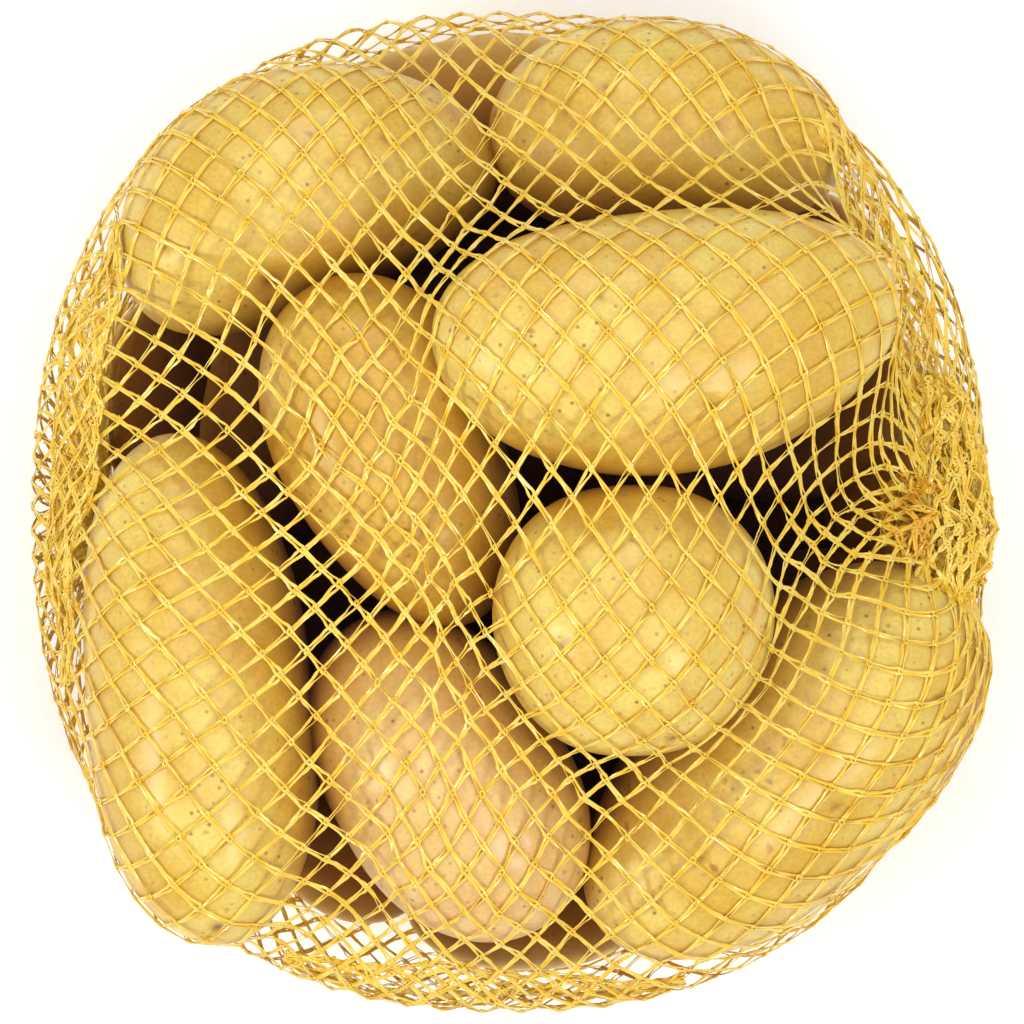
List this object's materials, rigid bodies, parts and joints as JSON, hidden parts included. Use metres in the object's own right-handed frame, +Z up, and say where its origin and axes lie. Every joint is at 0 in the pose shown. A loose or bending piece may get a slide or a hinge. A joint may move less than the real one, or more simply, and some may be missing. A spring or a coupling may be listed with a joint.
{
  "type": "net bag of potatoes",
  "caption": "Tubular yellow net bag with gathered ends, filled with washed yellow potatoes and lying on its side on a flattened base.",
  "frame": {"origin": "on the table, under the middle of the bag", "axes": "+X along the net tube towards the right-hand gathered end, +Y away from the front rim, +Z up, out of the side that the picture shows"},
  "size_m": [0.2281, 0.2356, 0.1318],
  "materials": {
    "net": "satin",
    "potato": "satin"
  },
  "bodies": {
    "root": {"net_bag": "net"}
  },
  "joints": []
}
